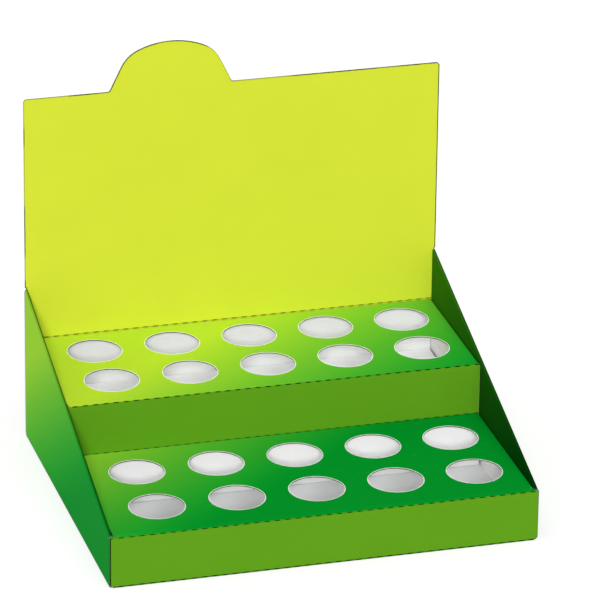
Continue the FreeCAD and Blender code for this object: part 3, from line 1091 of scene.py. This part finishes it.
class PunchedRims:
    """The low ragged rims of crushed board that the punch leaves around the holes of a tier."""

    ROUND_STEPS = 96
    SECTION_STEPS = 8
    SAME_PLACE = 1e-7
    NUMBER = "NodeSocketFloat"
    WHOLE = "NodeSocketInt"

    def __init__(self) -> None:
        """Build the tree."""
        inputs = [
            ("Columns", self.WHOLE, 5),
            ("Rows", self.WHOLE, 2),
            ("Column Pitch", self.NUMBER, 0.056),
            ("Row Pitch", self.NUMBER, 0.05),
            ("Centre", "NodeSocketVector", None),
            ("Hole Radius", self.NUMBER, 0.019),
            ("Rim Width", self.NUMBER, 0.0005),
            ("Rim Height", self.NUMBER, 0.00005),
            ("Raggedness", self.NUMBER, 0.4),
            ("Seed", self.WHOLE, 1),
            ("Material", "NodeSocketMaterial", None),
        ]
        outputs = [("Geometry", "NodeSocketGeometry")]
        graph, given, made = new_group("punched_rims", "GeometryNodeTree", inputs, outputs)
        self.tree = graph.tree
        value = given.outputs
        rim = self.one_rim(graph, value)
        last_column = graph.math("SUBTRACT", value["Columns"], 1.0)
        last_row = graph.math("SUBTRACT", value["Rows"], 1.0)
        places = graph.add("GeometryNodeMeshGrid", {
            "Size X": graph.math("MULTIPLY", value["Column Pitch"], last_column),
            "Size Y": graph.math("MULTIPLY", value["Row Pitch"], last_row),
            "Vertices X": value["Columns"],
            "Vertices Y": value["Rows"],
        })
        moved = graph.add("GeometryNodeTransform", {
            "Geometry": places.outputs["Mesh"], "Translation": value["Centre"],
        })
        turns = graph.add("FunctionNodeRandomValue", {
            0: (0.0, 0.0, 0.0), 1: (0.0, 0.0, math.tau), "Seed": value["Seed"],
        }, data_type="FLOAT_VECTOR")
        rims = graph.add("GeometryNodeInstanceOnPoints", {
            "Points": moved.outputs[0], "Instance": rim, "Rotation": turns.outputs[0],
        })
        real = graph.add("GeometryNodeRealizeInstances", {"Geometry": rims.outputs[0]})
        dressed = graph.add("GeometryNodeSetMaterial", {
            "Geometry": real.outputs[0], "Material": value["Material"],
        })
        graph.put(made.inputs["Geometry"], dressed.outputs[0])

    def one_rim(self, graph: Graph, value: Any) -> Socket:
        """Bend a grid into one closed ring with a flat oval section.

        Args:
            graph: The tree's graph.
            value: The tree's inputs.

        Returns:
            The ring's mesh.
        """
        grid = graph.add("GeometryNodeMeshGrid", {
            "Size X": 1.0,
            "Size Y": 1.0,
            "Vertices X": self.ROUND_STEPS + 1,
            "Vertices Y": self.SECTION_STEPS + 1,
        })
        share = graph.add("ShaderNodeSeparateXYZ", {0: graph.add("GeometryNodeInputPosition").outputs[0]})
        round_turn = graph.math("MULTIPLY", share.outputs[0], math.tau)
        section_turn = graph.math("MULTIPLY", share.outputs[1], math.tau)
        across = graph.math("COSINE", round_turn)
        along = graph.math("SINE", round_turn)
        way = graph.add("ShaderNodeCombineXYZ", {0: across, 1: along}).outputs[0]
        uneven = graph.math("SUBTRACT", graph.noise(way, 9.0, 3.0), 0.5)
        uneven = graph.math("MULTIPLY", uneven, value["Raggedness"])
        swell = graph.math("ADD", uneven, 1.0)
        half = graph.math("MULTIPLY", value["Rim Width"], 0.5)
        reach = graph.math("MULTIPLY", half, swell)
        height = graph.math("MULTIPLY", value["Rim Height"], swell)
        out = graph.math("MULTIPLY", graph.math("COSINE", section_turn), reach)
        radius = graph.math("ADD", graph.math("ADD", value["Hole Radius"], half), out)
        lift = graph.math("MULTIPLY", graph.math("SINE", section_turn), height)
        place = graph.add("ShaderNodeCombineXYZ", {
            0: graph.math("MULTIPLY", radius, across), 1: graph.math("MULTIPLY", radius, along), 2: lift,
        })
        bent = graph.add("GeometryNodeSetPosition", {
            "Geometry": grid.outputs["Mesh"], "Position": place.outputs[0],
        })
        return graph.add("GeometryNodeMergeByDistance", {
            "Geometry": bent.outputs[0], "Distance": self.SAME_PLACE,
        }).outputs[0]

    def grow(self, inputs: dict[str, Any]) -> bpy.types.Mesh:
        """Make the rims of one tier.

        Args:
            inputs: The tree's inputs by name.

        Returns:
            The rims as a plain mesh.
        """
        holder = bpy.data.objects.new("rims", bpy.data.meshes.new("rims"))
        bpy.context.scene.collection.objects.link(holder)
        modifier = holder.modifiers.new("punched_rims", "NODES")
        modifier.node_group = self.tree
        for item in self.tree.interface.items_tree:
            if item.in_out == "INPUT":
                modifier[item.identifier] = inputs[item.name]
        settle(holder)
        mesh = holder.data
        bpy.data.objects.remove(holder)
        return mesh


@dataclass
class SteppedInsert:
    """The folded sheet with two tiers and their round holes."""

    places: Places
    effects: BoardEffects
    side_dash: float = 2.4
    foot_line: float = 0.3
    upper_span: Pair = (-152.0, 178.0)
    rim_width: float = 0.5
    rim_height: float = 0.05
    raggedness: float = 0.6
    seed: int = 11

    def rims(self, tree: PunchedRims, rows: Pair, level: float, finish: bpy.types.Material) -> bpy.types.Mesh:
        """The rims around the holes of one tier.

        Args:
            tree: Makes the rims.
            rows: Depth of the front and the back row.
            level: The tier's height.
            finish: The rims' material.

        Returns:
            The mesh.
        """
        at = self.places
        middle = at.first_hole + at.hole_pitch * (at.hole_columns - 1) / 2
        return tree.grow({
            "Columns": at.hole_columns,
            "Rows": len(rows),
            "Column Pitch": at.hole_pitch * MM,
            "Row Pitch": (rows[1] - rows[0]) * MM,
            "Centre": Vector((middle, sum(rows) / 2, level)) * MM,
            "Hole Radius": at.hole_radius * MM,
            "Rim Width": self.rim_width * MM,
            "Rim Height": self.rim_height * MM,
            "Raggedness": self.raggedness,
            "Seed": self.seed,
            "Material": finish,
        })

    def tier_lines(self, level: float) -> tuple[PrintAndShadeLine, ...]:
        """The lines along the folds of one tier.

        Args:
            level: The tier's height.

        Returns:
            The lines at its sides and where it meets the riser or the header card.
        """
        at = self.places
        up = (0.0, 0.0, 1.0)
        fine = Dash((0.0, 1.0, 0.0), self.side_dash, 0.55)
        sides = tuple(
            Fold((x, 0.0, level), up, (way, 0.0, 0.0), at.fold).line(turn=35.0, spread=35.0, dash=fine)
            for x, way in ((at.insert_low.x, -1.0), (at.insert_high.x, 1.0))
        )
        if level < at.upper:
            return sides + (self.riser_foot(),)
        back = Fold((0.0, at.insert_high.y, level), up, (0.0, 1.0, 0.0), at.fold)
        return sides + (self.riser_top(), back.line(turn=20.0, spread=32.0, strength=0.4, dash=Dash()))

    def riser_top(self) -> PrintAndShadeLine:
        """The line along the fold between the riser and the upper tier."""
        at = self.places
        fold = Fold((0.0, at.riser, at.upper), (0.0, -1.0, 0.0), (0.0, 0.0, 1.0), at.fold)
        return fold.line(turn=48.0, spread=28.0, strength=0.95, dash=Dash())

    def riser_foot(self) -> PrintAndShadeLine:
        """The line along the fold between the lower tier and the riser."""
        at = self.places
        way = Vector((0.0, -1.0, 1.0)).normalized()
        middle = way.dot(Vector((0.0, at.riser, at.lower)))
        return PrintAndShadeLine(tuple(way), middle, self.foot_line, 0.9, Dash())

    def build(self) -> bpy.types.Object:
        """Build and dress the insert.

        Returns:
            The piece.
        """
        at = self.places
        upper_fade = Fade(LIME, GREEN, (1.0, -1.31, 0.0), *self.upper_span)
        upper = PrintedFinish("upper_tier_print", upper_fade, self.tier_lines(at.upper)).build(self.effects)
        lower_lines = self.tier_lines(at.lower)
        lower = PrintedFinish("lower_tier_print", lower_fade(at), lower_lines).build(self.effects)
        riser_lines = (self.riser_top(), self.riser_foot())
        riser = PrintedFinish("riser_print", Fade(OLIVE, OLIVE), riser_lines).build(self.effects)
        # The insert's underside liner is darkened as painted shade.
        plain = PlainFinish("insert_underside", LINER_PAINTED_HALF_SHADE).build(self.effects)
        cut = CutFinish("insert_cut").build(self.effects)
        rim = PlainFinish("hole_rims", roughness=0.9).build(self.effects)
        by_kind = {Face.CUT: cut, Face.PLAIN: plain, Face.RIM: rim}
        middle = (at.lower + at.upper) / 2

        def pick(face: bmesh.types.BMFace, kind: Face) -> bpy.types.Material:
            """The material of one face of the insert."""
            if kind in by_kind:
                return by_kind[kind]
            place = face.calc_center_median() / MM
            if abs(face.normal.y) > 0.7 and abs(place.y - at.riser) < at.fold:
                return riser
            return upper if place.z > middle else lower

        sheet = SheetMesh("stepped_insert", (0, 0, 1), (0, 0, -1))
        rims = PunchedRims()
        sheet.take_in(self.rims(rims, at.lower_rows, at.lower, rim), Face.RIM)
        sheet.take_in(self.rims(rims, at.upper_rows, at.upper, rim), Face.RIM)
        piece = sheet.finish("tier_board", pick)
        return piece


@dataclass
class InnerShelf:
    """The plain folded shelf under the upper tier, its liner greyer toward its feet as painted shade."""

    places: Places
    effects: BoardEffects
    painted_shade_below: float = 7.0
    painted_light_above: float = 16.0

    def build(self) -> bpy.types.Object:
        """Build and dress the shelf.

        Returns:
            The piece.
        """
        up = (0.0, 0.0, 1.0)
        # Painted shade: the shelf's liner darkens toward its feet, with painted light above.
        fade = Fade(LINER_PAINTED_SHADE, LINER_PAINTED_LIGHT, up, self.painted_shade_below, self.painted_light_above)
        plain = PlainFinish("shelf_liner", fade=fade).build(self.effects)
        cut = CutFinish("shelf_cut").build(self.effects)

        def pick(face: bmesh.types.BMFace, kind: Face) -> bpy.types.Material:
            """The material of one face of the shelf."""
            return cut if kind is Face.CUT else plain

        piece = SheetMesh("inner_shelf", (0, 0, 1), (0, 0, -1)).finish("shelf_board", pick)
        return piece


@dataclass
class HeaderCard:
    """The flat card with its round tab."""

    places: Places
    effects: BoardEffects
    edge_band: float = 0.8
    foot_rise: float = 0.35

    def front(self) -> PrintedFinish:
        """The yellow print on the card's front, the dark line at its foot partly painted crease shade."""
        at = self.places
        lines = (
            PrintAndShadeLine((1.0, 0.0, 0.0), at.header_high.x, half_width=0.7),
            PrintAndShadeLine((0.0, 0.0, 1.0), at.upper + self.foot_rise, 0.4, strength=0.85, dash=Dash()),
        )
        edge = EdgeLine(reach=0.75, faint=0.35, strong=0.9)
        return PrintedFinish("header_print", Fade(YELLOW, YELLOW), lines, edge)

    def build(self) -> bpy.types.Object:
        """Build and dress the card.

        Returns:
            The piece.
        """
        printed = self.front().build(self.effects)
        plain = PlainFinish("header_back").build(self.effects)
        cut = CutFinish("header_cut").build(self.effects)
        by_kind = {Face.PRINTED: printed, Face.PLAIN: plain, Face.CUT: cut}

        def pick(face: bmesh.types.BMFace, kind: Face) -> bpy.types.Material:
            """The material of one face of the card."""
            return by_kind[kind]

        sheet = SheetMesh("header_card", (0, -1, 0), (0, 1, 0))
        sheet.band(lambda face: face.normal.y < -0.99, self.edge_band * MM)
        piece = sheet.finish("header_board", pick)
        return piece


@dataclass(frozen=True)
class Lamp:
    """A soft lamp far away, its place and its width in degrees."""

    name: str
    azimuth: float
    elevation: float
    strength: float
    spread: float

    def hang(self) -> None:
        """Add the lamp to the scene."""
        lamp = bpy.data.lights.new(self.name, "SUN")
        lamp.energy = self.strength
        lamp.angle = math.radians(self.spread)
        holder = bpy.data.objects.new(self.name, lamp)
        way = back_vector(self.azimuth, self.elevation)
        holder.rotation_euler = way.to_track_quat("Z", "Y").to_euler()
        bpy.context.scene.collection.objects.link(holder)


@dataclass
class Stage:
    """The floor, the light and the camera."""

    floor_half: float = 6.0
    floor_tone: float = 0.5
    floor_glow: float = 0.56
    sky: float = 0.36
    lamps: tuple[Lamp, ...] = (
        Lamp("key", -16.0, 24.0, 1.82, 12.0),
        Lamp("top", -8.0, 72.0, 1.13, 50.0),
        Lamp("side", -96.0, 12.0, 0.98, 30.0),
    )

    def floor(self) -> None:
        """A pale floor that shows white to the camera and keeps the shadow."""
        mesh = bpy.data.meshes.new("floor")
        h = self.floor_half
        mesh.from_pydata([(-h, -h, 0), (h, -h, 0), (h, h, 0), (-h, h, 0)], [], [(0, 1, 2, 3)])
        floor = bpy.data.objects.new("floor", mesh)
        bpy.context.scene.collection.objects.link(floor)
        material = bpy.data.materials.new("pale_floor")
        material.use_nodes = True
        nodes = material.node_tree.nodes
        graph = Graph(material.node_tree)
        surface = nodes["Principled BSDF"]
        surface.inputs["Base Color"].default_value = (self.floor_tone,) * 3 + (1.0,)
        surface.inputs["Roughness"].default_value = 0.9
        surface.inputs["Specular IOR Level"].default_value = 0.0
        path = graph.add("ShaderNodeLightPath")
        seen = graph.math("MAXIMUM", path.outputs["Is Camera Ray"], path.outputs["Is Glossy Ray"])
        seen = graph.math("MAXIMUM", seen, path.outputs["Is Transmission Ray"])
        surface.inputs["Emission Color"].default_value = (1.0, 1.0, 1.0, 1.0)
        graph.put(surface.inputs["Emission Strength"], graph.math("MULTIPLY", seen, self.floor_glow))
        mesh.materials.append(material)

    def world(self) -> None:
        """An even white sky that the camera sees as plain white."""
        world = bpy.data.worlds.new("soft_sky")
        bpy.context.scene.world = world
        world.use_nodes = True
        graph = Graph(world.node_tree)
        background = world.node_tree.nodes["Background"]
        background.inputs["Color"].default_value = (1.0, 1.0, 1.0, 1.0)
        path = graph.add("ShaderNodeLightPath")
        seen = graph.math("MAXIMUM", path.outputs["Is Camera Ray"], path.outputs["Is Transmission Ray"])
        graph.put(background.inputs["Strength"], graph.math("MULTIPLY_ADD", seen, 1.0 - self.sky, self.sky))

    def camera(self) -> None:
        """The camera, at the angle that the photo shows."""
        shot = Shot()
        data = bpy.data.cameras.new("camera")
        data.sensor_width = SENSOR
        data.lens = shot.focal_pixels / PHOTO_HEIGHT * SENSOR
        data.clip_end = 100.0
        camera = bpy.data.objects.new("camera", data)
        back = back_vector(shot.azimuth, shot.elevation)
        turn = back.to_track_quat("Z", "Y").to_matrix()
        across = Vector((0, 0, 1)).cross(back).normalized()
        up = back.cross(across)
        roll = math.radians(shot.roll)
        right = across * math.cos(roll) + up * math.sin(roll)
        above = up * math.cos(roll) - across * math.sin(roll)
        for row in range(3):
            turn[row] = (right[row], above[row], back[row])
        camera.matrix_world = turn.to_4x4()
        camera.location = (Vector(shot.target) + back * shot.distance) * MM
        bpy.context.scene.collection.objects.link(camera)
        bpy.context.scene.camera = camera

    def build(self) -> None:
        """Set everything up."""
        bpy.context.scene.view_settings.view_transform = "Standard"
        self.floor()
        self.world()
        for lamp in self.lamps:
            lamp.hang()
        self.camera()


@dataclass(frozen=True)
class Shot:
    """Where the camera stands, in degrees and millimetres."""

    azimuth: float = -15.9
    elevation: float = 23.783
    roll: float = 0.719
    distance: float = 3735.12
    target: Triple = (12.02, 0.0, 134.32)
    focal_pixels: float = 5446.02


def back_vector(azimuth: float, elevation: float) -> Vector:
    """The way from the object to whoever looks at it.

    Args:
        azimuth: Degrees round from the front, to the right.
        elevation: Degrees above the floor.

    Returns:
        The unit vector.
    """
    a, e = math.radians(azimuth), math.radians(elevation)
    return Vector((math.sin(a) * math.cos(e), -math.cos(a) * math.cos(e), math.sin(e)))


def carry(piece: bpy.types.Object, node: str) -> None:
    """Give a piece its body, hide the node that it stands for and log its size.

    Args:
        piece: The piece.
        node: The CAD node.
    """
    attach(piece, "root")
    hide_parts(node)
    size = [side / MM for side in piece.dimensions]
    LOG.info("%s: %d faces, %.1f x %.1f x %.1f mm", piece.name, len(piece.data.polygons), *size)


def main() -> None:
    """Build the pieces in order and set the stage."""
    logging.basicConfig(level=logging.INFO, format="%(name)s %(message)s", force=True)
    places = Places.read()
    effects = BoardEffects()
    carry(Tray(places, effects).build(), "tray")
    carry(SteppedInsert(places, effects).build(), "stepped_insert")
    carry(InnerShelf(places, effects).build(), "inner_shelf")
    carry(HeaderCard(places, effects).build(), "header_card")
    Stage().build()


if __name__ == "__main__":
    main()
